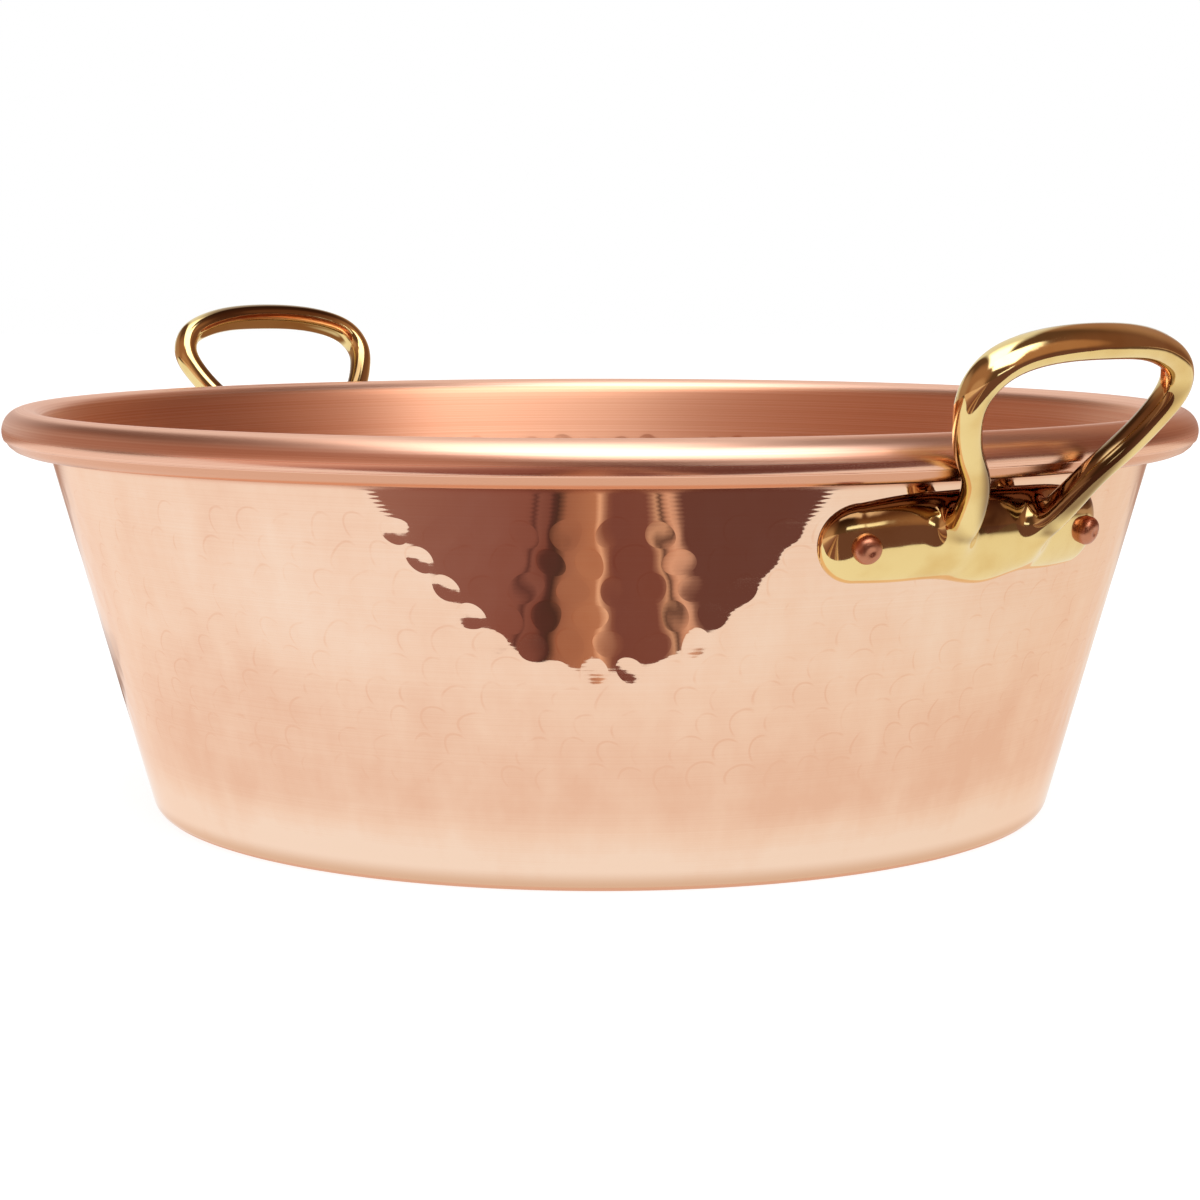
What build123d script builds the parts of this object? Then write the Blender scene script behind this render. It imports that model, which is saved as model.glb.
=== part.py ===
from build123d import *
import os
from math import acos, asin, atan2, cos, degrees, hypot, radians, sin, tan

# A jam pan: a wide, shallow bowl of bare copper sheet whose top edge is rolled outward into a
# hollow bead, with two cast bronze loop handles, each held by two copper rivets through the wall.
# The origin is the centre of the base on the table, +Z is up and the handles lie along X.

# Pan, all outside sizes
rim_radius = 190.0  # over the rolled rim
rim_height = 128.6  # from the table to the top of the roll
base_radius = 144.6  # where the wall would reach the table if the corner were sharp
sheet = 1.2
corner_radius = 5.0

# Rolled rim
roll_radius = 6.8
roll_gap = 0.3  # left between the rolled edge and the wall
band_depth = 0.35  # how far the lower half of the roll is turned down
band_angle = 24.0  # degrees below the middle of the roll, where that band starts

# Handle plate, measured on the wall
plate_gap = 3.0  # from the roll down to the top of the plate's middle
rivet_spacing = 82.4  # straight across
plate_half_height = 11.8
plate_thickness = 5.6

# Handle loop
loop_half_width = 38.2
loop_reach = 44.0  # from the wall at the rivets, outward
loop_rise = 53.7  # above the rivets
bar_width = 11.6  # across the grip, as the palm meets it
bar_thickness = 8.3

# Rivets
shank_radius = 2.5
rivet_fit = 0.1  # drilled that much larger than the shank, on the radius
button_radius = 4.1
button_rise = 3.4
inner_head_radius = 6.5
inner_head_rise = 1.9

overrun = 1.0  # how far cuts and buried ends run past a face

# Plate sections in even steps from the middle to a rivet: shift up the wall, half height, thickness
plate_section_shares = [
    (-0.03, 1.17, 1.50),
    (0.04, 1.07, 1.36),
    (0.02, 1.05, 1.14),
    (-0.05, 0.96, 1.00),
]

# Points on the middle line of the loop from a foot to beside the top: across, outward, upward
loop_point_shares = [
    (0.38, 0.06, -0.02),
    (0.43, 0.22, 0.07),
    (0.49, 0.35, 0.18),
    (0.60, 0.475, 0.32),
    (0.77, 0.565, 0.445),
    (0.95, 0.70, 0.625),
    (1.00, 0.80, 0.762),
    (0.92, 0.87, 0.868),
    (0.72, 0.915, 0.942),
    (0.335, 0.98, 0.992),
]

# Oval sections of the loop in even steps from a foot to the top: width, thickness
loop_section_shares = [
    (0.90, 1.10),
    (0.78, 1.00),
    (0.70, 0.92),
    (0.69, 0.92),
    (0.73, 0.94),
    (0.88, 0.98),
    (0.92, 1.00),
    (0.96, 1.00),
    (1.00, 1.00),
]

# The roll is a circle tangent to the inside of the wall, and that sets how the wall leans
roll_middle = (rim_radius - roll_radius, rim_height - roll_radius)
lean_run = roll_middle[0] - base_radius
wall_lean = atan2(lean_run, roll_middle[1]) - asin((roll_radius - sheet) / hypot(lean_run, roll_middle[1]))
wall_slope = tan(wall_lean)
tangent_angle = 180.0 - degrees(wall_lean)
band_radius = roll_radius - band_depth
roll_turn = 360.0 - degrees(acos((roll_radius - sheet - roll_gap) / band_radius))
tip_angle = tangent_angle - roll_turn

# The plate hangs just under the roll, and its sections are placed from the height of the rivets
plate_top = rim_height - roll_radius - band_radius - plate_gap
top_share = plate_section_shares[0][0] + plate_section_shares[0][1]
rivet_height = plate_top - top_share * plate_half_height * cos(wall_lean)

# The ends of the plate are round, and their middle lies a little below the rivets
end_middle = plate_section_shares[-1][0] * plate_half_height
end_radius = plate_section_shares[-1][1] * plate_half_height


def wall_radius(height):
    """Outside radius of the wall at a height above the table."""
    return base_radius + height * wall_slope


seat_radius = wall_radius(rivet_height)
rivet_angle = degrees(asin(rivet_spacing / 2 / seat_radius))


def roll_point(radius, angle):
    """Point of the pan's section at a radius and angle about the middle of the roll."""
    return (roll_middle[0] + radius * cos(radians(angle)), roll_middle[1] + radius * sin(radians(angle)))


def wall_plane(angle):
    """Plane through the pan's axis at an angle round it: x out of the wall at the rivets' height, y up the wall."""
    around = Vector(cos(radians(angle)), sin(radians(angle)), 0)
    outward = around * cos(wall_lean) - Vector(0, 0, 1) * sin(wall_lean)
    across = Vector(around.Y, -around.X, 0)
    seat = around * seat_radius + Vector(0, 0, 1) * rivet_height
    return Plane(origin=seat, x_dir=outward, z_dir=across)


def rivet_plane(angle):
    """Plane lying on the wall under a rivet, with z along the rivet, outward."""
    section = wall_plane(angle)
    return Plane(origin=section.origin, x_dir=section.z_dir, z_dir=section.x_dir)


rivet_angles = [rivet_angle, -rivet_angle, 180.0 + rivet_angle, 180.0 - rivet_angle]
rivet_planes = [rivet_plane(angle) for angle in rivet_angles]

# Pan body: the sheet in section, from the middle of the base to the edge of the roll, turned round the axis
with BuildPart() as pan_body:
    with BuildSketch(Plane.XZ) as sheet_section:
        with BuildLine():
            inner_corner = (base_radius + sheet * wall_slope - sheet / cos(wall_lean), sheet)
            Polyline(
                roll_point(roll_radius, tangent_angle),
                inner_corner,
                (0, sheet),
                (0, 0),
                (base_radius, 0),
                roll_point(roll_radius - sheet, tangent_angle),
            )
            CenterArc(roll_middle, roll_radius - sheet, tangent_angle, -roll_turn)
            Line(roll_point(roll_radius - sheet, tip_angle), roll_point(band_radius, tip_angle))
            CenterArc(roll_middle, band_radius, tip_angle, -band_angle - tip_angle)
            Line(roll_point(band_radius, -band_angle), roll_point(roll_radius, -band_angle))
            CenterArc(roll_middle, roll_radius, -band_angle, band_angle + tangent_angle)
        make_face()
        outer_edge = sheet_section.vertices().sort_by_distance((base_radius, 0, 0))[:1]
        fillet(outer_edge, radius=corner_radius)
        inner_edge = sheet_section.vertices().sort_by_distance((*inner_corner, 0))[:1]
        fillet(inner_edge, radius=corner_radius - sheet)
    revolve(axis=Axis.Z)
    with Locations(*rivet_planes):
        Cylinder(shank_radius + rivet_fit, 2 * (sheet + overrun), mode=Mode.SUBTRACT)
pan_body.part.label = "pan_body"

# The wall without its hollow, used to cut the backs of the handles to the pan
with BuildPart() as wall_form:
    with BuildSketch(Plane.XZ):
        Polygon(
            (0, 0),
            (base_radius, 0),
            (wall_radius(rim_height), rim_height),
            (0, rim_height),
            align=None,
        )
    revolve(axis=Axis.Z)

# Handle: a domed plate that follows the wall, with round ends over the rivets, and a loop that
# rises from its middle, clears the roll and leans outward to a flattened grip
loop_lean = atan2(loop_reach - plate_thickness, loop_rise)
grip_outward = Vector(cos(loop_lean), 0, -sin(loop_lean))
half_loop = [
    (seat_radius + outward * loop_reach, across * loop_half_width, rivet_height + upward * loop_rise)
    for across, outward, upward in loop_point_shares
]
loop_top = (seat_radius + loop_reach, 0, rivet_height + loop_rise)
loop_line = Spline(*half_loop, loop_top, *[(x, -y, z) for x, y, z in reversed(half_loop)])
plate_sections = [*reversed(plate_section_shares[1:]), *plate_section_shares]
loop_sections = [*loop_section_shares, *reversed(loop_section_shares[:-1])]
with BuildPart() as handle_right:
    for count, (shift, height_share, thickness_share) in enumerate(plate_sections):
        side = 2 * count / (len(plate_sections) - 1) - 1
        with BuildSketch(wall_plane(side * rivet_angle)):
            middle = shift * plate_half_height
            half_height = height_share * plate_half_height
            with BuildLine():
                EllipticalCenterArc(
                    (0, middle),
                    thickness_share * plate_thickness,
                    half_height,
                    start_angle=-90,
                    arc_size=180,
                )
                Polyline(
                    (0, middle + half_height),
                    (-overrun, middle + half_height),
                    (-overrun, middle - half_height),
                    (0, middle - half_height),
                )
            make_face()
    loft()
    end_plane = wall_plane(rivet_angle)
    with BuildSketch(end_plane):
        with BuildLine():
            EllipticalCenterArc((0, end_middle), plate_thickness, end_radius, arc_size=90)
            Polyline(
                (0, end_middle + end_radius),
                (-overrun, end_middle + end_radius),
                (-overrun, end_middle),
                (plate_thickness, end_middle),
            )
        make_face()
    end_axis = Axis(end_plane.from_local_coords((0, end_middle)), -end_plane.x_dir)
    rounded_end = revolve(axis=end_axis, revolution_arc=180)
    mirror(rounded_end, about=Plane.XZ)
    for count, (width_share, thickness_share) in enumerate(loop_sections):
        place = count / (len(loop_sections) - 1)
        with BuildSketch(Plane(loop_line @ place, x_dir=grip_outward, z_dir=loop_line % place)):
            Ellipse(width_share * bar_width / 2, thickness_share * bar_thickness / 2)
    loft()
    add(wall_form.part, mode=Mode.SUBTRACT)
    with Locations(*rivet_planes[:2]):
        Cylinder(
            shank_radius + rivet_fit,
            2 * (plate_thickness + overrun),
            mode=Mode.SUBTRACT,
        )
handle_right.part.label = "handle_right"

with BuildPart() as handle_left:
    mirror(handle_right.part, about=Plane.YZ)
handle_left.part.label = "handle_left"

# Rivet: the round button shows on the plate, and the wide low head is inside the pan. Both are cut
# to what they sit on.
button_seat = plate_thickness * cos(asin((button_radius - end_middle) / end_radius))
with BuildPart() as rivet_right_back:
    with BuildSketch(wall_plane(rivet_angle)):
        with BuildLine():
            button_side = (plate_thickness + button_rise / 4, button_radius)
            button_top = (plate_thickness + button_rise, 0)
            inner_side = (-sheet - inner_head_rise / 4, inner_head_radius)
            inner_top = (-sheet - inner_head_rise, 0)
            TangentArc(button_top, button_side, tangent=(0, 1))
            Polyline(
                button_side,
                (button_seat - sheet / 2, button_radius),
                (button_seat - sheet / 2, shank_radius),
                (-sheet / 2, shank_radius),
                (-sheet / 2, inner_head_radius),
                inner_side,
            )
            TangentArc(inner_top, inner_side, tangent=(0, 1))
            Line(inner_top, button_top)
        make_face()
    revolve(axis=Axis(wall_plane(rivet_angle).origin, wall_plane(rivet_angle).x_dir))
    add(handle_right.part, mode=Mode.SUBTRACT)
    add(pan_body.part, mode=Mode.SUBTRACT)
rivet_right_back.part.label = "rivet_right_back"

with BuildPart() as rivet_right_front:
    mirror(rivet_right_back.part, about=Plane.XZ)
rivet_right_front.part.label = "rivet_right_front"

with BuildPart() as rivet_left_back:
    mirror(rivet_right_back.part, about=Plane.YZ)
rivet_left_back.part.label = "rivet_left_back"

with BuildPart() as rivet_left_front:
    mirror(rivet_right_front.part, about=Plane.YZ)
rivet_left_front.part.label = "rivet_left_front"

os.makedirs("parts", exist_ok=True)
for name in (
    pan_body,
    handle_right,
    handle_left,
    rivet_right_back,
    rivet_right_front,
    rivet_left_back,
    rivet_left_front,
):
    export_step(name.part, f"parts/{name.part.label}.step")
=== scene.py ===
import math

import bpy
import numpy as np
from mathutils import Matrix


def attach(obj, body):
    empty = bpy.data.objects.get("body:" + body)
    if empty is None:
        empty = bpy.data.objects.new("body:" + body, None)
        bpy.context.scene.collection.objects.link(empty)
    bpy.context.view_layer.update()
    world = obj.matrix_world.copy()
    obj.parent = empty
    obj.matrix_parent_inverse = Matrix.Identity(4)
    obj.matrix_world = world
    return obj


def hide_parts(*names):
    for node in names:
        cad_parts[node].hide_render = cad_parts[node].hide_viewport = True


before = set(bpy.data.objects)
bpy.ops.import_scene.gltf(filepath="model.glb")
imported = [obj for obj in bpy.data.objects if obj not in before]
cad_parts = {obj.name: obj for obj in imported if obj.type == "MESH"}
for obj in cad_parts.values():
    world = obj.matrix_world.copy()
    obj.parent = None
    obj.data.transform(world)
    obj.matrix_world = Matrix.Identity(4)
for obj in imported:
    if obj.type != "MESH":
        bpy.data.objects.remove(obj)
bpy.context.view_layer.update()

# Pan body
# One sheet of bare copper 1.2 mm thick, spun to a flat base and a leaning wall. Its wall is hammered in
# rows after spinning, and its top edge is rolled outward into a hollow bead and turned down below.

rim_radius, rim_height = 0.190, 0.1286
base_radius = 0.1446  # where the wall would meet the table if the corner were sharp
sheet = 0.0012
corner_radius = 0.005
roll_radius, roll_gap = 0.0068, 0.0003
band_depth, band_angle = 0.00035, 24.0  # the turned-down lower half of the bead, and where it starts
marks_around, mark_rows = 94, 10
columns_per_mark, outer_rows_per_mark, inner_rows_per_mark = 6, 6, 3  # steps of the mesh over one mark
row_pitch, first_row_height = 0.00794, 0.0338  # up the wall, and of the lowest row above the table
mark_radius, mark_curve = 0.0042, 0.13  # of the round hollow that a blow leaves, and of the hollow's sphere
mesh_share, bump_share = 0.6, 0.5  # of a hollow's depth that the mesh and the finish give
stray = 0.10  # how far the blows stray from their places, as a share of their spacing
across_wave, up_wave = (23.0, 2.0), (31.0, 1.3)  # the waves round and up the wall that they stray in
marks_top, marks_reach = 0.1135, 0.0315  # the marks end at this height, and so far out from the base radius
ridge_pitch, line_pitch = 0.00144, 0.00045  # between the ridges and the fine lines that spinning leaves
floor_ring = 0.035  # radius of the innermost ring of the base, which closes on a middle point

roll_middle = np.array([rim_radius - roll_radius, rim_height - roll_radius])
lean_run = roll_middle[0] - base_radius
to_roll = math.hypot(lean_run, roll_middle[1])
wall_lean = math.atan2(lean_run, roll_middle[1]) - math.asin((roll_radius - sheet) / to_roll)
tangent_angle = 180.0 - math.degrees(wall_lean)
band_radius = roll_radius - band_depth
roll_turn = 360.0 - math.degrees(math.acos((roll_radius - sheet - roll_gap) / band_radius))
tip_angle = tangent_angle - roll_turn


def arc(middle, radius, start, end, count):
    """Points on a circle from one angle to another, in degrees: middle + radius * (cos, sin)."""
    turn = np.radians(np.linspace(start, end, count))
    return np.array(middle) + radius * np.column_stack([np.cos(turn), np.sin(turn)])


def run(start, end, count):
    """Points in even steps on a straight line, without its last point."""
    share = np.linspace(0.0, 1.0, count, endpoint=False)[:, None]
    return np.array(start) + share * (np.array(end) - np.array(start))


def grid_faces(rows, columns):
    """Quads between the rows of a grid that closes on itself round its columns."""
    corner = np.arange(rows * columns).reshape(rows, columns)
    beside = np.roll(corner, -1, axis=1)
    return np.stack([corner[:-1], beside[:-1], beside[1:], corner[1:]], axis=-1).reshape(-1, 4)


def fan_faces(ring, pole, flip):
    """Triangles that close a ring of vertices on one pole vertex."""
    beside = np.roll(ring, -1)
    centre = np.full_like(ring, pole)
    return np.stack([beside, ring, centre] if flip else [ring, beside, centre], axis=-1)


def new_piece(name, points, quads, triangles=None):
    """A smooth mesh object from arrays of points, quads and triangles."""
    triangles = np.zeros((0, 3), int) if triangles is None else triangles
    corners = np.concatenate([quads.ravel(), triangles.ravel()]).astype(np.int32)
    sizes = np.concatenate([np.full(len(quads), 4), np.full(len(triangles), 3)])
    mesh = bpy.data.meshes.new(name)
    mesh.vertices.add(len(points))
    mesh.vertices.foreach_set("co", np.asarray(points, np.float32).ravel())
    mesh.loops.add(len(corners))
    mesh.loops.foreach_set("vertex_index", corners)
    mesh.polygons.add(len(sizes))
    mesh.polygons.foreach_set("loop_start", (np.cumsum(sizes) - sizes).astype(np.int32))
    mesh.update(calc_edges=True)
    mesh.validate()
    mesh.shade_smooth()
    piece = bpy.data.objects.new(name, mesh)
    bpy.context.scene.collection.objects.link(piece)
    return piece


def wall_point(height, offset):
    """Point of the section on a line beside the wall's outer face, so far from it, at a height."""
    return [base_radius + height * math.tan(wall_lean) + offset / math.cos(wall_lean), height]


def section_of_the_sheet():
    """Closed section from the middle of the underside, out and up the wall, round the inside of the roll to
    its edge, back over the outside of the roll and down the inner face to the middle of the floor."""
    outer_turn = corner_radius * math.tan((math.pi / 2 - wall_lean) / 2)
    corner_middle = [base_radius - outer_turn, corner_radius]
    lean = math.degrees(wall_lean)
    rows_top = first_row_height + (mark_rows - 0.5) * row_pitch * math.cos(wall_lean)
    rows_bottom = first_row_height - 0.5 * row_pitch * math.cos(wall_lean)
    outer_top = roll_middle + (roll_radius - sheet) * np.array([-math.cos(wall_lean), math.sin(wall_lean)])
    inner_top = roll_middle + roll_radius * np.array([-math.cos(wall_lean), math.sin(wall_lean)])
    outer_foot = arc(corner_middle, corner_radius, -90, -lean, 6)
    inner_foot = arc(corner_middle, corner_radius - sheet, -lean, -90, 5)
    outside = [
        run([floor_ring, 0], outer_foot[0], 3),
        outer_foot[:-1],
        run(outer_foot[-1], wall_point(rows_bottom, 0), 2),
        run(wall_point(rows_bottom, 0), wall_point(rows_top, 0), mark_rows * outer_rows_per_mark),
        run(wall_point(rows_top, 0), outer_top, 5),
        arc(roll_middle, roll_radius - sheet, tangent_angle, tip_angle, 11),
    ]
    inside = [
        arc(roll_middle, band_radius, tip_angle, -band_angle - 1.5, 9),
        arc(roll_middle, band_radius + 0.2 * band_depth, -band_angle - 0.2, -band_angle, 1),
        arc(roll_middle, roll_radius - 0.25 * band_depth, -band_angle + 0.4, -band_angle, 1),
        arc(roll_middle, roll_radius, -band_angle + 2.5, tangent_angle, 23)[:-1],
        run(inner_top, wall_point(rows_top, -sheet), 5),
        run(wall_point(rows_top, -sheet), wall_point(rows_bottom, -sheet), mark_rows * inner_rows_per_mark),
        run(wall_point(rows_bottom, -sheet), inner_foot[0], 2),
        inner_foot[:-1],
        run(inner_foot[-1], [floor_ring, sheet], 3),
        [[floor_ring, sheet]],
    ]
    outside, inside = np.concatenate(outside), np.concatenate(inside)
    return outside, inside


def hammer_marks(angle, height, radius):
    """Depth of the hammered wall below the plain cone: a blow leaves a round hollow, (mark radius squared -
    distance squared) / twice its sphere's radius deep. Blows stand in rows like bricks, and two sine waves
    round the wall move them a little off their places."""
    across = angle * marks_around / (2 * math.pi)
    up = (height - first_row_height) / (row_pitch * math.cos(wall_lean))
    across = across + stray * np.sin(across_wave[0] * angle + across_wave[1] * up)
    up = up + stray * np.sin(up_wave[0] * angle + up_wave[1] * up)
    hollow = np.zeros(across.shape)
    for first in (0, 1):
        row = np.clip(2 * np.rint((up - first) / 2) + first, first, mark_rows - 2 + first)
        away = across - 0.5 * first
        away = (away - np.rint(away)) * (2 * math.pi / marks_around) * radius
        apart = away**2 + ((up - row) * row_pitch) ** 2
        hollow = np.minimum(hollow, (apart - mark_radius**2) / (2 * mark_curve))
    return hollow


outside_section, inside_section = section_of_the_sheet()
section = np.concatenate([outside_section, inside_section])
angles = np.arange(marks_around * columns_per_mark) * (2 * math.pi / (marks_around * columns_per_mark))
radii, heights = section[:, :1], section[:, 1:]
dents = hammer_marks(angles[None, :], heights, radii)
outer_rows = np.arange(len(section)) < len(outside_section)
hammered = (section[:, 1] < marks_top) & (section[:, 0] < base_radius + marks_reach)
dents = dents * mesh_share * hammered[:, None]
push_out = np.array([math.cos(wall_lean), -math.sin(wall_lean)])
facing = np.where(outer_rows, 1.0, -1.0)[:, None]
ring_radius = radii + dents * facing * push_out[0]
ring_height = heights + dents * facing * push_out[1]
pan_points = np.stack([
    ring_radius * np.cos(angles),
    ring_radius * np.sin(angles),
    ring_height + 0 * angles,
], axis=-1)
pan_rings = pan_points.shape[:2]
pan_points = np.concatenate([pan_points.reshape(-1, 3), [[0, 0, 0], [0, 0, sheet]]])
ring_numbers = np.arange(pan_rings[0] * pan_rings[1]).reshape(pan_rings)
pan_quads = grid_faces(*pan_rings)
pan_fans = np.concatenate([
    fan_faces(ring_numbers[0], len(pan_points) - 2, True),
    fan_faces(ring_numbers[-1], len(pan_points) - 1, False),
])
pan = new_piece("pan_sheet", pan_points, pan_quads, pan_fans)


class Socket:
    """A shader value that can be written in sums: each operator adds one Math node to its material."""

    def __init__(self, shader, link):
        self.shader, self.link = shader, link

    def __add__(self, other):
        return self.shader.math("ADD", self, other)

    def __sub__(self, other):
        return self.shader.math("SUBTRACT", self, other)

    def __rsub__(self, other):
        return self.shader.math("SUBTRACT", other, self)

    def __mul__(self, other):
        return self.shader.math("MULTIPLY", self, other)

    __radd__ = __add__
    __rmul__ = __mul__


class Shader:
    """The node tree of a material or a world. One method adds any node, and the others call it."""

    def __init__(self, owner):
        owner.use_nodes = True
        self.tree = owner.node_tree
        self.tree.nodes.clear()

    def node(self, kind, settings=None, values=None):
        """Adds a node with its settings and the values of its inputs, and gives its outputs by name. A ramp's
        stops are settings too."""
        made = self.tree.nodes.new(kind)
        for name, value in (settings or {}).items():
            if name == "stops":
                ramp = made.color_ramp
                while len(ramp.elements) < len(value):
                    ramp.elements.new(1.0)
                for element, (place, colour) in zip(ramp.elements, value):
                    element.position, element.color = place, (*colour, 1.0)
            else:
                setattr(made, name, value)
        pairs = values.items() if isinstance(values, dict) else enumerate(values or ())
        for name, value in pairs:
            if isinstance(value, Socket):
                self.tree.links.new(value.link, made.inputs[name])
            else:
                made.inputs[name].default_value = value
        return {out.name: Socket(self, out) for out in made.outputs if out.enabled}

    def math(self, operation, *values):
        """A Math node, for what the operators can't say."""
        return self.node("ShaderNodeMath", {"operation": operation}, values)["Value"]

    def dot(self, vector, direction):
        """How far a vector points along a fixed direction: their dot product."""
        values = {0: vector, 1: tuple(direction)}
        return self.node("ShaderNodeVectorMath", {"operation": "DOT_PRODUCT"}, values)["Value"]

    def mix(self, factor, first, second):
        """The first colour where the factor is 0, and the second where it is 1."""
        first, second = [
            colour if isinstance(colour, Socket) else (*colour, 1.0)
            for colour in (first, second)
        ]
        # the node has inputs for each kind of data, and 6 and 7 take colours
        return self.node("ShaderNodeMix", {"data_type": "RGBA"}, {0: factor, 6: first, 7: second})["Result"]

    def between(self, value, start, end, before=0.0, after=1.0):
        """A smooth step from before, where the value is start, to after, where it is end. The start may be
        the higher of the two."""
        settings = {"interpolation_type": "SMOOTHSTEP"}
        return self.node("ShaderNodeMapRange", settings, [value, start, end, before, after])["Result"]

    def noise(self, place, scale, detail, roughness, distortion=0.0):
        """Noise from 0 to 1 at a place, with about as many waves to a metre as its scale says."""
        values = {"Vector": place, "Scale": scale, "Detail": detail}
        values.update({"Roughness": roughness, "Distortion": distortion})
        return self.node("ShaderNodeTexNoise", {}, values)["Fac"]

    def metal(self, colour, roughness, relief, relief_depth, tint=(1.0, 1.0, 1.0)):
        """Makes the material bare metal, and raises its finish by the relief times the relief's depth."""
        values = {"Strength": 1.0, "Distance": relief_depth, "Height": relief}
        bump = self.node("ShaderNodeBump", {}, values)["Normal"]
        values = {"Base Color": colour, "Metallic": 1.0, "Roughness": roughness}
        values.update({"Specular Tint": (*tint, 1.0), "Normal": bump})
        surface = self.node("ShaderNodeBsdfPrincipled", {}, values)["BSDF"]
        self.node("ShaderNodeOutputMaterial", {}, [surface])


copper_rose, copper_peach, copper_pale = (0.86, 0.52, 0.36), (0.93, 0.63, 0.46), (0.96, 0.71, 0.55)
satin_inside = [(0.77, 0.37, 0.228), (0.84, 0.468, 0.305)]
satin_bead = [(0.86, 0.48, 0.34), (0.95, 0.60, 0.45)]
painted_bead_band_reflection, painted_base_edge_shade = (0.75, 0.39, 0.25), (0.66, 0.36, 0.20)  # painted reflections: copper on copper on the bead's lower half, and the shaded floor at the base's edge
edge_tint = (1.0, 0.88, 0.80)  # of what the metal shows at a flat angle

# heights between which each zone of the finish, the painted reflections and the painted shade sets in
base_edge, wall_foot, lower_wall = (0.007, 0.002), (0.026, 0.008), (0.075, 0.030)
smooth_below, smooth_above = (0.024, 0.018), (0.104, 0.109)
bead_foot, bead_band, bead_top = (0.1130, 0.1150), (0.1189, 0.1187), (0.1205, 0.1235)

copper_sheet = bpy.data.materials.new("bare_copper_sheet")
shader = Shader(copper_sheet)
place = shader.node("ShaderNodeTexCoord")["Object"]
axes = shader.node("ShaderNodeSeparateXYZ", {}, [place])
radius = shader.math("SQRT", axes["X"] * axes["X"] + axes["Y"] * axes["Y"])
height = axes["Z"]
# along the section: up the wall it grows with height, over the base and the roll with radius
along = height + radius * 0.9
# the sheet's middle surface parts the inside from the outside
past_middle = radius - height * math.tan(wall_lean) - (base_radius - 0.5 * sheet / math.cos(wall_lean))
inside_face = shader.between(past_middle, 0.00015, -0.00015)
lines_place = [axes["X"] * 1.5, axes["Y"] * 1.5, along * (1.0 / line_pitch)]
lines = shader.noise(shader.node("ShaderNodeCombineXYZ", {}, lines_place)["Vector"], 1.0, 2.0, 0.6)
smooth_band = shader.between(height, *smooth_above) + shader.between(height, *smooth_below)
clouds = shader.noise(place, 16.0, 4.0, 0.55, 0.4)
blotches = shader.noise(place, 75.0, 3.0, 0.6)
# upright smears
smears_place = {0: place, 1: (1.0, 1.0, 0.16)}
smears_place = shader.node("ShaderNodeVectorMath", {"operation": "MULTIPLY"}, smears_place)["Vector"]
smears = shader.noise(smears_place, 85.0, 3.0, 0.6)
# the same blows as in hammer_marks
around = shader.math("ARCTAN2", axes["Y"], axes["X"])
up = (height - first_row_height) * (1.0 / (row_pitch * math.cos(wall_lean)))
across = around * (marks_around / (2 * math.pi))
across = across + shader.math("SINE", around * across_wave[0] + up * across_wave[1]) * stray
up = up + shader.math("SINE", around * up_wave[0] + up * up_wave[1]) * stray
apart, aside = [], []
for first in (0, 1):
    row = shader.math("ROUND", (up - first) * 0.5) * 2.0 + first
    row = shader.math("MINIMUM", shader.math("MAXIMUM", row, first), mark_rows - 2 + first)
    away = across - 0.5 * first
    away = (away - shader.math("ROUND", away)) * radius * (2 * math.pi / marks_around)
    above = (up - row) * row_pitch
    apart.append(away * away + above * above)
    aside.append(above - away)
nearer = shader.math("LESS_THAN", apart[1], apart[0])
aside = aside[0] + (aside[1] - aside[0]) * nearer
apart = shader.math("MINIMUM", *apart)
hollow = shader.math("MINIMUM", (apart - mark_radius**2) * (bump_share / (2 * mark_curve)), 0.0)
from_blow = shader.math("SQRT", apart)
# painted shade: thin darker arcs along the rims of the hammer marks, on their upper side
painted_mark_rim_shade = shader.between(shader.math("ABSOLUTE", from_blow - mark_radius), 0.00050, 0.00010)
painted_mark_rim_shade = painted_mark_rim_shade * shader.between(aside, -0.0010, 0.0030) * shader.between(blotches, 0.40, 0.60)
in_mark = shader.between(from_blow, mark_radius + 0.0003, mark_radius - 0.0003)
# painted reflection: the lower wall darker and redder for the shaded table near the pan, and the foot paler
painted_low_wall_reflection = shader.between(height, *lower_wall) - shader.between(height, *wall_foot) * 2.0
tint = clouds * 0.9 + blotches * 0.35 + painted_low_wall_reflection * 0.27 + painted_mark_rim_shade * 0.22 + lines * 0.3 + smears * 0.4 - 0.49
outside_colour = shader.node(
    "ShaderNodeValToRGB",
    {"stops": [(0.25, copper_pale), (0.55, copper_peach), (0.9, copper_rose)]},
    [tint],
)["Color"]
# painted shade: the base's edge darker and more orange, for the shaded floor it reflects
outside_colour = shader.mix(shader.between(height, *base_edge) * 0.7, outside_colour, painted_base_edge_shade)
bead_zone = shader.between(height, *bead_foot) * (1.0 - inside_face)
# painted reflection: the bead's lower half is coloured redder, as copper mirrored in copper
painted_reflection_under_bead = bead_zone * shader.between(height, *bead_band)
streaks = shader.between(lines, 0.35, 0.65)
# the bead's lower half takes the painted reflection colour
bead_colour = shader.mix(painted_reflection_under_bead, shader.mix(streaks, *satin_bead), painted_bead_band_reflection)
inside_colour = shader.mix(streaks * (1.0 - in_mark), *satin_inside)
body_colour = shader.mix(inside_face, shader.mix(bead_zone, outside_colour, bead_colour), inside_colour)
bead_upper = bead_zone * shader.between(height, *bead_top)
roughness = 0.022 + lines * 0.015 + inside_face * (0.36 - in_mark * 0.10)
roughness = roughness + bead_zone * 0.19 + bead_upper * 0.12
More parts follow.
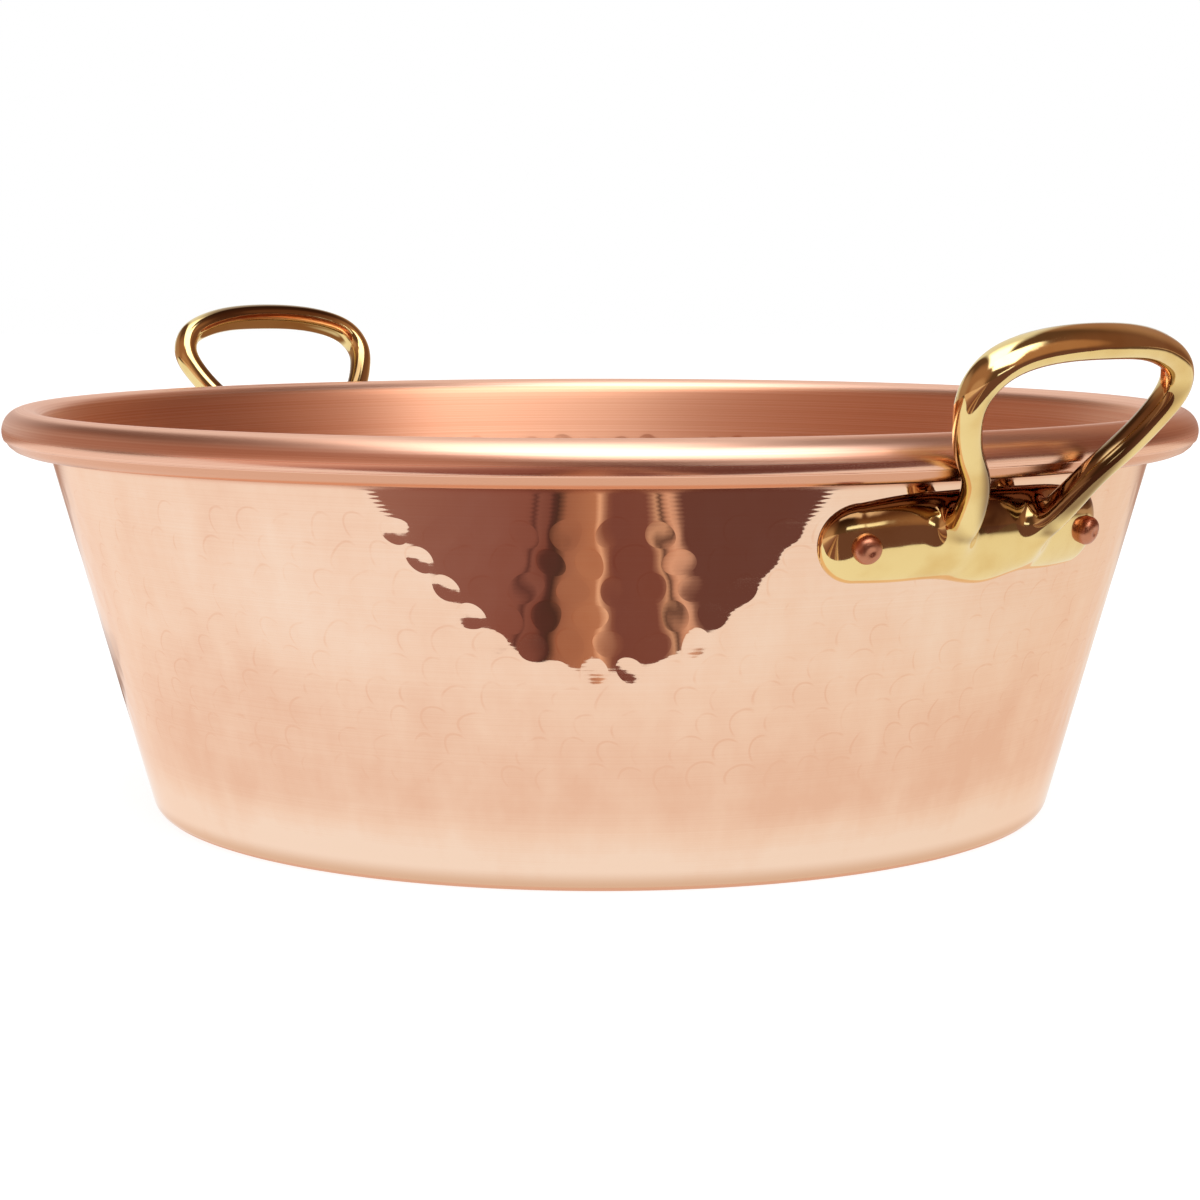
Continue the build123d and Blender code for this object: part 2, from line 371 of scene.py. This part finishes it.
# the relief is in hundredths of a millimetre
ridges = shader.math("SINE", along * (2 * math.pi / ridge_pitch))
turning = ridges * (0.024 + smooth_band * 0.099) + lines * (0.05 + smooth_band * 0.084)
shader.metal(body_colour, roughness, turning + hollow * 100000.0, 0.00001, edge_tint)
pan.data.materials.append(copper_sheet)
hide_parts("pan_body")
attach(pan, "root")

# Handles
# Two bronze castings, filed and polished by hand. Each is a domed plate that lies on the wall and a loop
# that grows out of the plate's face, passes over the bead and leans out to a flattened grip.

rivet_height, rivet_spacing = 0.09936, 0.0824
plate_half_height, plate_thickness = 0.0118, 0.0056
loop_half_width, loop_reach, loop_rise = 0.0382, 0.0440, 0.0537
bar_width, bar_thickness = 0.0116, 0.0083
foot_blend = 0.0055  # how softly the legs run into the plate
plate_tilt = 0.16  # share by which the plate is thicker at its lower edge and thinner at its upper one
skin_step = 0.0008  # spacing of the points on a casting
back_sunk = 0.0002  # how far a casting's back lies behind the face of the wall
loop_stations = 241
leg_foot, leg_spread = 0.0145, 0.6  # the middle of a leg: across at the rivets, and more for each metre above
# sections of the plate in even steps from its middle to a rivet: shift up the wall, half height, thickness
plate_section_shares = np.array([
    (-0.03, 1.17, 1.50),
    (0.04, 1.07, 1.36),
    (0.02, 1.05, 1.14),
    (-0.05, 0.96, 1.00),
])
# points on the middle line of the loop, from a foot to the top: across, outward, upward
loop_point_shares = np.array([
    (0.38, 0.06, -0.02),
    (0.43, 0.22, 0.07),
    (0.49, 0.35, 0.18),
    (0.60, 0.475, 0.32),
    (0.77, 0.565, 0.445),
    (0.95, 0.70, 0.625),
    (1.00, 0.80, 0.762),
    (0.92, 0.87, 0.868),
    (0.72, 0.915, 0.942),
    (0.335, 0.98, 0.992),
    (0.0, 1.0, 1.0),
])
# oval sections of the loop in even steps from a foot to the top: width, thickness
loop_section_shares = np.array([
    (0.90, 1.10),
    (0.78, 1.00),
    (0.70, 0.92),
    (0.69, 0.92),
    (0.73, 0.94),
    (0.88, 0.98),
    (0.92, 1.00),
    (0.96, 1.00),
    (1.00, 1.00),
])
seat_radius = base_radius + rivet_height * math.tan(wall_lean)
rivet_angle = math.asin(rivet_spacing / 2 / seat_radius)


def smooth_through(places, values, wanted):
    """Values on the natural cubic spline through a table of values at given places."""
    step = np.diff(places)
    count = len(places)
    bend = np.zeros((count, count))
    pull = np.zeros((count, values.shape[1]))
    bend[0, 0] = bend[-1, -1] = 1.0
    middle = np.arange(1, count - 1)
    bend[middle, middle - 1], bend[middle, middle + 1] = step[:-1], step[1:]
    bend[middle, middle] = 2 * (step[:-1] + step[1:])
    rise = np.diff(values, axis=0) / step[:, None]
    pull[1:-1] = 6 * np.diff(rise, axis=0)
    curve = np.linalg.solve(bend, pull)
    span = np.clip(np.searchsorted(places, wanted, side="right") - 1, 0, count - 2)
    near, far = (wanted - places[span])[:, None], (places[span + 1] - wanted)[:, None]
    wide = step[span][:, None]
    cubic = (curve[span] * far**3 + curve[span + 1] * near**3) / (6 * wide)
    return (
        cubic
        + (values[span] / wide - curve[span] * wide / 6) * far
        + (values[span + 1] / wide - curve[span + 1] * wide / 6) * near
    )


def loop_middle_line(count):
    """Even stations along the loop, from foot to foot: their places, directions, and oval half sizes."""
    half = loop_point_shares * np.array([loop_half_width, loop_reach, loop_rise])
    half = np.column_stack([seat_radius + half[:, 1], half[:, 0], rivet_height + half[:, 2]])
    whole = np.concatenate([half, half[-2::-1] * np.array([1, -1, 1])])
    knots = np.concatenate([[0], np.cumsum(np.linalg.norm(np.diff(whole, axis=0), axis=1))])
    fine = smooth_through(knots, whole, np.linspace(0, knots[-1], 2000))
    length = np.concatenate([[0], np.cumsum(np.linalg.norm(np.diff(fine, axis=0), axis=1))])
    even = np.linspace(0, length[-1], count)
    line = np.column_stack([np.interp(even, length, fine[:, axis]) for axis in range(3)])
    direction = np.gradient(line, axis=0)
    direction /= np.linalg.norm(direction, axis=1, keepdims=True)
    shares = np.concatenate([loop_section_shares, loop_section_shares[-2::-1]])
    halves = smooth_through(np.linspace(0, 1, len(shares)), shares, np.linspace(0, 1, count))
    return line, direction, halves * np.array([bar_width / 2, bar_thickness / 2])


loop_line, loop_direction, loop_halves = loop_middle_line(loop_stations)
grip_lean = math.atan2(loop_reach - plate_thickness, loop_rise)
grip_outward = np.array([math.cos(grip_lean), 0.0, -math.sin(grip_lean)])
broad_way = grip_outward - (loop_direction @ grip_outward)[:, None] * loop_direction
broad_way /= np.linalg.norm(broad_way, axis=1, keepdims=True)
narrow_way = np.cross(loop_direction, broad_way)


def off_the_plate(points):
    """Signed distance, about, from the domed plate: an ellipse over the wall in each upright section, whose
    height and middle change along the plate, closed at the ends by half a dome round each rivet."""
    out = np.hypot(points[:, 0], points[:, 1])
    along = np.abs(np.arctan2(points[:, 1], points[:, 0])) * seat_radius
    above = points[:, 2] - rivet_height
    up = above * math.cos(wall_lean) + (out - seat_radius) * math.sin(wall_lean)
    off = (out - seat_radius) * math.cos(wall_lean) - above * math.sin(wall_lean)
    rivet_along = rivet_angle * seat_radius
    table = np.concatenate([plate_section_shares[:0:-1], plate_section_shares])
    shares = smooth_through(np.linspace(-1, 1, len(table)), table, np.clip(along / rivet_along, 0, 1))
    middle, half = shares[:, 0] * plate_half_height, shares[:, 1] * plate_half_height
    thick = shares[:, 2] * plate_thickness
    past_rivet = np.maximum(along - rivet_along, 0)
    thick = thick * (1 - plate_tilt * np.clip((up - middle) / half, -1.2, 1.2))
    size = np.sqrt((off / thick) ** 2 + ((up - middle) / half) ** 2 + (past_rivet / half) ** 2)
    slope = np.sqrt((off / thick**2) ** 2 + ((up - middle) / half**2) ** 2 + (past_rivet / half**2) ** 2)
    dome = (size - 1) * size / np.maximum(slope, 1e-3)
    return dome, off


def off_the_loop(points):
    """Signed distance, about, from the loop: an oval round the nearest station of its middle line."""
    nearest = np.empty(len(points), int)
    for part in np.array_split(np.arange(len(points)), max(1, len(points) // 12000)):
        apart = ((points[part, None, :] - loop_line[None, ::2, :]) ** 2).sum(axis=2)
        nearest[part] = 2 * apart.argmin(axis=1)
    ends = len(loop_line) - 1
    gap = np.linalg.norm(loop_line[1] - loop_line[0])
    for _ in range(2):
        offset = points - loop_line[nearest]
        slide = (offset * loop_direction[nearest]).sum(axis=1)
        nearest = np.clip(nearest + np.rint(slide / gap).astype(int), 0, ends)
    offset = points - loop_line[nearest]
    slide = (offset * loop_direction[nearest]).sum(axis=1)
    offset = offset - np.clip(slide, -gap, gap)[:, None] * loop_direction[nearest]
    share = np.clip(nearest + slide / gap, 0, ends)
    stations = np.arange(ends + 1)
    broad_half = np.interp(share, stations, loop_halves[:, 0])
    narrow_half = np.interp(share, stations, loop_halves[:, 1])
    broad = (offset * broad_way[nearest]).sum(axis=1)
    narrow = (offset * narrow_way[nearest]).sum(axis=1)
    past = np.maximum(np.linalg.norm(offset, axis=1) ** 2 - broad**2 - narrow**2, 0)
    size = np.sqrt((broad / broad_half) ** 2 + (narrow / narrow_half) ** 2 + past / narrow_half**2)
    slope = np.sqrt((broad / broad_half**2) ** 2 + (narrow / narrow_half**2) ** 2 + past / narrow_half**4)
    return (size - 1) * size / np.maximum(slope, 1e-3)


def off_the_casting(points):
    """Signed distance, about, from the whole handle: plate and loop run together over a soft blend, and the
    back is cut just behind the face of the wall."""
    dome, off = off_the_plate(points)
    loop = off_the_loop(points)
    blend = np.maximum(foot_blend - np.abs(dome - loop), 0) / foot_blend
    joined = np.minimum(dome, loop) - blend**2 * foot_blend / 4
    return np.maximum(joined, -off - back_sunk)


def net_over(field, origin, step):
    """Closed quads over the zero level of a field on a grid: a vertex in each cell that the level passes
    through, at the mean of its crossings, and a quad round each grid edge that it crosses."""
    solid = field < 0
    cells = tuple(size - 1 for size in field.shape)
    total, hits = np.zeros((*cells, 3)), np.zeros(cells)
    crossings = []
    for axis in range(3):
        low = [slice(None)] * 3
        high = [slice(None)] * 3
        low[axis], high[axis] = slice(None, -1), slice(1, None)
        first, second = field[tuple(low)], field[tuple(high)]
        crossed = solid[tuple(low)] != solid[tuple(high)]
        share = np.where(crossed, first / np.where(crossed, first - second, 1.0), 0.0)
        steps = [np.arange(size, dtype=float) for size in crossed.shape]
        place = np.stack(np.meshgrid(*steps, indexing="ij"), axis=-1)
        place[..., axis] += share
        others = [other for other in range(3) if other != axis]
        for step_a in (0, 1):
            for step_b in (0, 1):
                window = [slice(None)] * 3
                window[others[0]] = slice(step_a, step_a + cells[others[0]])
                window[others[1]] = slice(step_b, step_b + cells[others[1]])
                here = crossed[tuple(window)]
                total += np.where(here[..., None], place[tuple(window)], 0.0)
                hits += here
        crossings.append((crossed, solid[tuple(low)], others))
    active = hits > 0
    number = np.full(cells, -1)
    number[active] = np.arange(active.sum())
    points = origin + step * total[active] / hits[active][:, None]
    quads = []
    for axis, (crossed, inside_low, others) in enumerate(crossings):
        where = np.argwhere(crossed)
        turned = inside_low[tuple(where.T)] != (axis == 1)
        around = []
        for step_a, step_b in ((1, 1), (0, 1), (0, 0), (1, 0)):
            cell = where.copy()
            cell[:, others[0]] -= step_a
            cell[:, others[1]] -= step_b
            around.append(number[tuple(cell.T)])
        around = np.stack(around, axis=1)
        quads.append(np.where(turned[:, None], around, around[:, ::-1]))
    return points, np.concatenate(quads)


def settle(points, quads, field, rounds):
    """Moves points to the mean of their neighbours, then back to the zero level along the field's slope."""
    edges = np.concatenate([quads[:, [0, 1]], quads[:, [1, 2]], quads[:, [2, 3]], quads[:, [3, 0]]])
    count = np.bincount(edges[:, 0], minlength=len(points))[:, None]
    small = 1e-5
    for _ in range(rounds):
        total = np.column_stack([
            np.bincount(edges[:, 0], weights=points[edges[:, 1], axis], minlength=len(points))
            for axis in range(3)
        ])
        points = 0.4 * points + 0.6 * total / count
        for _ in range(2):
            level = field(points)
            slope = np.column_stack([field(points + small * way) - level for way in np.eye(3)]) / small
            points = points - slope * (level / np.maximum((slope**2).sum(axis=1), 0.05))[:, None]
    return points


# the field is worked out on a grid round one half of a casting, and mirrored for the other half
low_corner = np.array([seat_radius - 0.010, 0.0, rivet_height - 0.0165])
grid_size = np.ceil(np.array([0.061, 0.056, 0.078]) / skin_step).astype(int)
grid_axes = [low_corner[axis] + skin_step * np.arange(grid_size[axis]) for axis in range(3)]
grid_points = np.stack(np.meshgrid(*grid_axes, indexing="ij"), axis=-1).reshape(-1, 3)
half_field = off_the_casting(grid_points).reshape(grid_size)
whole_field = np.concatenate([half_field[:, :0:-1], half_field], axis=1)
field_corner = low_corner - np.array([0.0, skin_step * (grid_size[1] - 1), 0.0])
handle_points, handle_quads = net_over(whole_field, field_corner, skin_step)
handle_points = settle(handle_points, handle_quads, off_the_casting, 4)

bronze_gold, bronze_deep, bronze_dark = (0.90, 0.70, 0.32), (0.80, 0.56, 0.22), (0.16, 0.07, 0.03)

cast_bronze = bpy.data.materials.new("polished_cast_bronze")
shader = Shader(cast_bronze)
place = shader.node("ShaderNodeTexCoord")["Object"]
clouds = shader.noise(place, 60.0, 3.0, 0.5)
waves = shader.noise(place, 130.0, 1.0, 0.4)
scuffs = shader.noise(place, 700.0, 3.0, 0.7)
bronze_colour = shader.mix(shader.between(clouds, 0.4, 0.75), bronze_gold, bronze_deep)
axes = shader.node("ShaderNodeSeparateXYZ", {}, [place])
outward = shader.math("SQRT", axes["X"] * axes["X"] + axes["Y"] * axes["Y"])
aside = shader.math("ABSOLUTE", axes["Y"])
above_rivets = axes["Z"] - rivet_height
off_wall = (outward - axes["Z"] * math.tan(wall_lean) - base_radius) * math.cos(wall_lean)
up_wall = above_rivets * math.cos(wall_lean) + (outward - seat_radius) * math.sin(wall_lean)
# darker along the upper edge of the plate; painted shade in the nook between the legs and on the
# inner sides of the legs
plate_edge_darkening = shader.between(off_wall - up_wall * 0.35, 0.0032, 0.0002) * shader.between(up_wall, 0.002, 0.007)
bronze_colour = shader.mix(plate_edge_darkening * 0.9, bronze_colour, bronze_dark)
# painted shade, mottled, in the nook between the legs
painted_nook_shade = shader.between(aside, 0.023, 0.016) * shader.between(outward - seat_radius, 0.016, 0.012)
painted_nook_shade = painted_nook_shade * shader.between(up_wall, 0.0010, 0.0040) * shader.between(clouds, 0.36, 0.56)
bronze_colour = shader.mix(painted_nook_shade * 0.75, bronze_colour, bronze_dark)
past_leg = aside - leg_foot - above_rivets * leg_spread
# painted shade on the inner sides of the legs
painted_leg_inside_shade = shader.between(past_leg, 0.0022, -0.0020) * shader.between(above_rivets, 0.043, 0.034)
painted_leg_inside_shade = painted_leg_inside_shade * shader.between(above_rivets, 0.000, 0.008)
bronze_colour = shader.mix(painted_leg_inside_shade * 0.78, bronze_colour, bronze_dark)
shader.metal(bronze_colour, 0.05 + scuffs * 0.06, waves, 0.00005)

for side, node in ((1, "handle_right"), (-1, "handle_left")):
    turned = handle_quads if side == 1 else handle_quads[:, ::-1]
    handle = new_piece(f"{node}_casting", handle_points * np.array([side, 1, 1]), turned)
    handle.data.materials.append(cast_bronze)
    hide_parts(node)
    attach(handle, "root")

# Rivets
# Four copper rivets, two through each handle. The button outside is struck round with a light dimple in its
# middle, and the wide low factory head is inside the pan.

shank_radius, button_radius, button_rise = 0.0025, 0.0041, 0.0034
inner_head_radius, inner_head_rise = 0.0065, 0.0019
button_foot = plate_thickness - 0.0026  # where the button stands on the domed plate
rivet_sides = 48

rivet_top = plate_thickness + button_rise
# radius, and distance outward from the face of the wall, from the dimple to the top of the inner head
rivet_profile = np.array([
    (0.0005, rivet_top - 0.00040),
    (0.0010, rivet_top - 0.00020),
    (0.0014, rivet_top - 0.00010),
    (0.0021, rivet_top - 0.00020),
    (0.0028, rivet_top - 0.00045),
    (0.0034, rivet_top - 0.00085),
    (0.0038, rivet_top - 0.00135),
    (button_radius, rivet_top - 0.0021),
    (button_radius, button_foot),
    (shank_radius, button_foot),
    (shank_radius, 0.0001 - sheet),
    (inner_head_radius, 0.0003 - sheet),
    (inner_head_radius, -0.0004 - sheet),
    (inner_head_radius * 0.86, -0.62 * inner_head_rise - sheet),
    (inner_head_radius * 0.55, -0.9 * inner_head_rise - sheet),
    (inner_head_radius * 0.2, -inner_head_rise - sheet),
])
rivet_turns = np.arange(rivet_sides) * (2 * math.pi / rivet_sides)
rivet_rings = np.stack([
    rivet_profile[:, 1:] + 0 * rivet_turns,
    rivet_profile[:, :1] * np.cos(rivet_turns),
    rivet_profile[:, :1] * np.sin(rivet_turns),
], axis=-1)
rivet_local = np.concatenate([
    rivet_rings.reshape(-1, 3),
    [[rivet_top - 0.00048, 0, 0], [-sheet - inner_head_rise, 0, 0]],
])
rivet_numbers = np.arange(len(rivet_profile) * rivet_sides).reshape(-1, rivet_sides)
rivet_quads = grid_faces(*rivet_numbers.shape)
rivet_fans = np.concatenate([
    fan_faces(rivet_numbers[0], len(rivet_local) - 2, True),
    fan_faces(rivet_numbers[-1], len(rivet_local) - 1, False),
])

copper_rivet = bpy.data.materials.new("struck_copper_rivet")
shader = Shader(copper_rivet)
place = shader.node("ShaderNodeTexCoord")["Object"]
clouds = shader.noise(place, 400.0, 3.0, 0.6)
rivet_colour = shader.mix(clouds, (0.66, 0.28, 0.17), (0.46, 0.18, 0.10))
shader.metal(rivet_colour, 0.28 + clouds * 0.12, clouds, 0.00004)

for node, angle in (
    ("rivet_right_back", rivet_angle),
    ("rivet_right_front", -rivet_angle),
    ("rivet_left_back", math.pi - rivet_angle),
    ("rivet_left_front", math.pi + rivet_angle),
):
    around = np.array([math.cos(angle), math.sin(angle), 0.0])
    outward = around * math.cos(wall_lean) - np.array([0.0, 0.0, math.sin(wall_lean)])
    sideways = np.array([-math.sin(angle), math.cos(angle), 0.0])
    upward = np.cross(outward, sideways)
    seat = around * seat_radius + np.array([0.0, 0.0, rivet_height])
    placed = seat + rivet_local @ np.stack([outward, sideways, upward])
    rivet = new_piece(f"{node}_head", placed, rivet_quads, rivet_fans)
    rivet.data.materials.append(copper_rivet)
    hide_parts(node)
    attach(rivet, "root")

# Studio
# A pale floor that runs out to white, a soft white surround with a dim side behind the camera, and a dark
# table edge in front that only the polished metal shows.

view_angle = math.radians(52.5)
camera_distance, camera_height, camera_pitch = 0.8619, 0.1720, 7.154
toward_camera = np.array([math.sin(view_angle), -math.cos(view_angle), 0.0])
camera_right = np.array([math.cos(view_angle), math.sin(view_angle), 0.0])

camera_data = bpy.data.cameras.new("camera")
camera_data.sensor_width, camera_data.lens = 36.0, 79.48
camera = bpy.data.objects.new("camera", camera_data)
camera.location = (*(toward_camera * camera_distance)[:2], camera_height)
camera.rotation_euler = (math.radians(90.0 - camera_pitch), 0.0, view_angle)
bpy.context.scene.collection.objects.link(camera)
bpy.context.scene.camera = camera

floor_reach = 6.0  # from the middle to each edge
floor_corners = np.array([(-1, -1), (1, -1), (1, 1), (-1, 1)]) * floor_reach
floor_points = floor_corners @ np.stack([camera_right, -toward_camera])
floor = new_piece("floor", floor_points, np.array([[0, 1, 2, 3]]))
floor_material = bpy.data.materials.new("pale_floor")
shader = Shader(floor_material)
rays = shader.node("ShaderNodeLightPath")
in_metal = rays["Is Glossy Ray"]
place = shader.node("ShaderNodeTexCoord")["Object"]
across, behind = shader.dot(place, camera_right), shader.dot(place, -toward_camera)
# metal shows the floor a little warm to the right, and dark past the sides of the table
widening = shader.math("MAXIMUM", behind * 0.9, 0.0)
on_table = shader.between(across - widening, 0.95, 0.60) * shader.between(across + widening, -1.10, -0.70)
off_table = 1.0 - on_table
table_colour = shader.mix(shader.between(across, -0.3, 0.5) * in_metal, (1.0, 1.0, 1.0), (0.91, 0.86, 0.78))
table_colour = shader.mix(off_table * in_metal, table_colour, (0.15, 0.085, 0.06))
# its far part is brown on either side of a pale wedge
past_wedge = shader.math("ABSOLUTE", across) - behind * 0.36
far_part = shader.between(behind, 0.40, 0.80) * shader.between(past_wedge, -0.10, 0.20) * in_metal
table_colour = shader.mix(far_part, table_colour, (0.50, 0.33, 0.26))
# just behind the pan it is shaded, which the far grip shows and the wall near it doesn't
shade = shader.between(behind, 0.12, 0.16) * shader.between(behind, 0.62, 0.45)
shade = shade * shader.between(across, -0.30, -0.18) * shader.between(across, 0.20, 0.12)
shade = shade * shader.between(rays["Ray Length"], 0.140, 0.155) * in_metal
table_colour = shader.mix(shade, table_colour, (0.28, 0.14, 0.08))
matte = shader.node("ShaderNodeBsdfDiffuse", {}, {"Color": (0.85, 0.85, 0.85, 1.0)})["BSDF"]
glow = {"Color": table_colour, "Strength": 0.97 + rays["Is Camera Ray"] * 0.33}
glow = shader.node("ShaderNodeEmission", {}, glow)["Emission"]
mixed = [rays["Is Camera Ray"] * 0.68 + in_metal, matte, glow]
mixed = shader.node("ShaderNodeMixShader", {}, mixed)["Shader"]
shader.node("ShaderNodeOutputMaterial", {}, [mixed])
floor.data.materials.append(floor_material)

# the dark table front: its edge curves away from the pan to the sides, and its stripes run away from the pan
card_front, card_bow, bow_width, card_lift = 0.2415, 0.047, 0.15, 0.001
card_steps = 121
dark_material = bpy.data.materials.new("dark_table_front")
shader = Shader(dark_material)
place = shader.node("ShaderNodeTexCoord")["Object"]
stripes = shader.node(
    "ShaderNodeValToRGB",
    {
        "stops": [
            (0.05, (0.78, 0.53, 0.44)),
            (0.27, (0.37, 0.205, 0.175)),
            (0.38, (0.29, 0.14, 0.12)),
            (0.441, (0.26, 0.11, 0.09)),
            (0.445, (0.12, 0.05, 0.045)),
            (0.448, (0.25, 0.11, 0.09)),
            (0.459, (0.20, 0.08, 0.065)),
            (0.462, (0.05, 0.025, 0.025)),
            (0.466, (0.09, 0.045, 0.035)),
            (0.473, (0.36, 0.17, 0.11)),
            (0.496, (0.48, 0.24, 0.145)),
            (0.500, (0.80, 0.52, 0.36)),
            (0.506, (0.27, 0.12, 0.085)),
            (0.511, (0.20, 0.08, 0.065)),
            (0.542, (0.21, 0.085, 0.067)),
            (0.546, (0.75, 0.48, 0.33)),
            (0.550, (0.06, 0.03, 0.027)),
            (0.554, (0.52, 0.30, 0.21)),
            (0.560, (0.80, 0.52, 0.38)),
            (0.568, (0.15, 0.067, 0.057)),
        ]
    },
    [shader.dot(place, camera_right) + 0.5],
)["Color"]
dark = shader.node("ShaderNodeEmission", {}, {"Color": stripes, "Strength": 1.0})["Emission"]
shader.node("ShaderNodeOutputMaterial", {}, [dark])
card_across = floor_reach * np.linspace(-1.0, 1.0, card_steps) ** 3
card_edge = card_front + card_bow * (1 - np.exp(-((card_across / bow_width) ** 2)))
card_rows = np.stack([
    card_across[:, None] * camera_right + reach[:, None] * toward_camera + np.array([0, 0, card_lift])
    for reach in (card_edge, np.full(card_steps, floor_reach))
])
near, far = np.arange(2 * card_steps).reshape(2, card_steps)
card_quads = np.stack([near[:-1], far[:-1], far[1:], near[1:]], axis=-1)
dark_card = new_piece("dark_table_front", card_rows.reshape(-1, 3), card_quads)
dark_card.data.materials.append(dark_material)
dark_card.visible_camera = False
dark_card.visible_diffuse = False
dark_card.visible_shadow = False

world = bpy.data.worlds.new("soft_surround")
bpy.context.scene.world = world
shader = Shader(world)
facing = shader.node("ShaderNodeTexCoord")["Generated"]


def sky_point(turn, rise):
    """Direction at an angle to the right of straight ahead, and an angle above the horizon, in degrees."""
    turn, rise = math.radians(turn), math.radians(rise)
    level = camera_right * math.sin(turn) - toward_camera * math.cos(turn)
    return level * math.cos(rise) + np.array([0.0, 0.0, math.sin(rise)])


def part_along(turn, rise):
    """How far a direction of the surround points along one that is given by its angles."""
    return shader.dot(facing, sky_point(turn, rise))


def larger(first, second):
    """The larger of two values, which joins two lights."""
    return shader.math("MAXIMUM", first, second)


upward = part_along(0, 90)
# the softbox behind the camera, to the right: places on it are measured on a plane across its middle
depth = larger(part_along(160, 45), 0.1)
aside = shader.math("DIVIDE", part_along(70, 0), depth)
above = shader.math("DIVIDE", part_along(160, 135), depth)
softbox = shader.between(aside, -0.58, -0.42) * shader.between(aside, 0.56, 0.42)
softbox = softbox * shader.between(above + aside * 0.26, -0.40, -0.22) * shader.between(above, 0.62, 0.42)
# the strip overhead, which runs on down to the far side and is dimmer there
strip_side = shader.math("ABSOLUTE", part_along(90, 0) + 0.12)
strip_length = larger(shader.between(upward, 0.62, 0.78), shader.between(part_along(0, 0), 0.05, 0.35))
strip = shader.between(strip_side, 0.36, 0.22) * strip_length
strip_light = shader.between(part_along(0, 0), 0.0, 0.5, 2.8, 0.85)
# the white backdrop beyond the table, highest straight ahead
ahead = part_along(-12, 0)
backdrop = shader.between(upward - ahead * 1.1 + 0.65, 0.08, -0.08) * shader.between(ahead, 0.70, 0.95)
# the dim sides, warmer where the room is lighter
warmer = shader.between(part_along(95, 10), 0.5, 0.9)
dim_colour = shader.mix(warmer, (0.12, 0.062, 0.042), (0.20, 0.09, 0.06))
for turn, rise, low, high, colour in (
    (18, 18, 0.72, 0.95, (0.38, 0.21, 0.14)),
    (122, 25, 0.88, 0.97, (0.42, 0.21, 0.13)),
    (-125, 15, 0.60, 0.90, (0.36, 0.18, 0.12)),
    (-138, -5, 0.85, 0.95, (0.50, 0.29, 0.21)),
    (-66, 4, 0.80, 0.96, (0.42, 0.26, 0.20)),
):
    dim_colour = shader.mix(shader.between(part_along(turn, rise), low, high), dim_colour, colour)
# a low window behind the camera, to the right
window = shader.between(shader.math("ABSOLUTE", upward - 0.09), 0.05, 0.03)
window = window * shader.between(part_along(147, 5), 0.955, 0.97)
# where a light is seen its colour is white, and elsewhere the strength is 1
lit = larger(larger(softbox, strip), larger(backdrop, window))
light = larger(larger(softbox * 3.0, strip * strip_light), larger(backdrop * 0.75, window * 1.6))
strength = light + 1.0 - lit
surround = shader.mix(lit, dim_colour, (1.0, 1.0, 1.0))
rays = shader.node("ShaderNodeLightPath")
seen_colour = shader.mix(rays["Is Camera Ray"], surround, (1.0, 1.0, 1.0))
background = {"Color": seen_colour, "Strength": larger(rays["Is Camera Ray"], strength)}
background = shader.node("ShaderNodeBackground", {}, background)["Background"]
shader.node("ShaderNodeOutputWorld", {}, [background])

bpy.context.scene.view_settings.view_transform = "Standard"
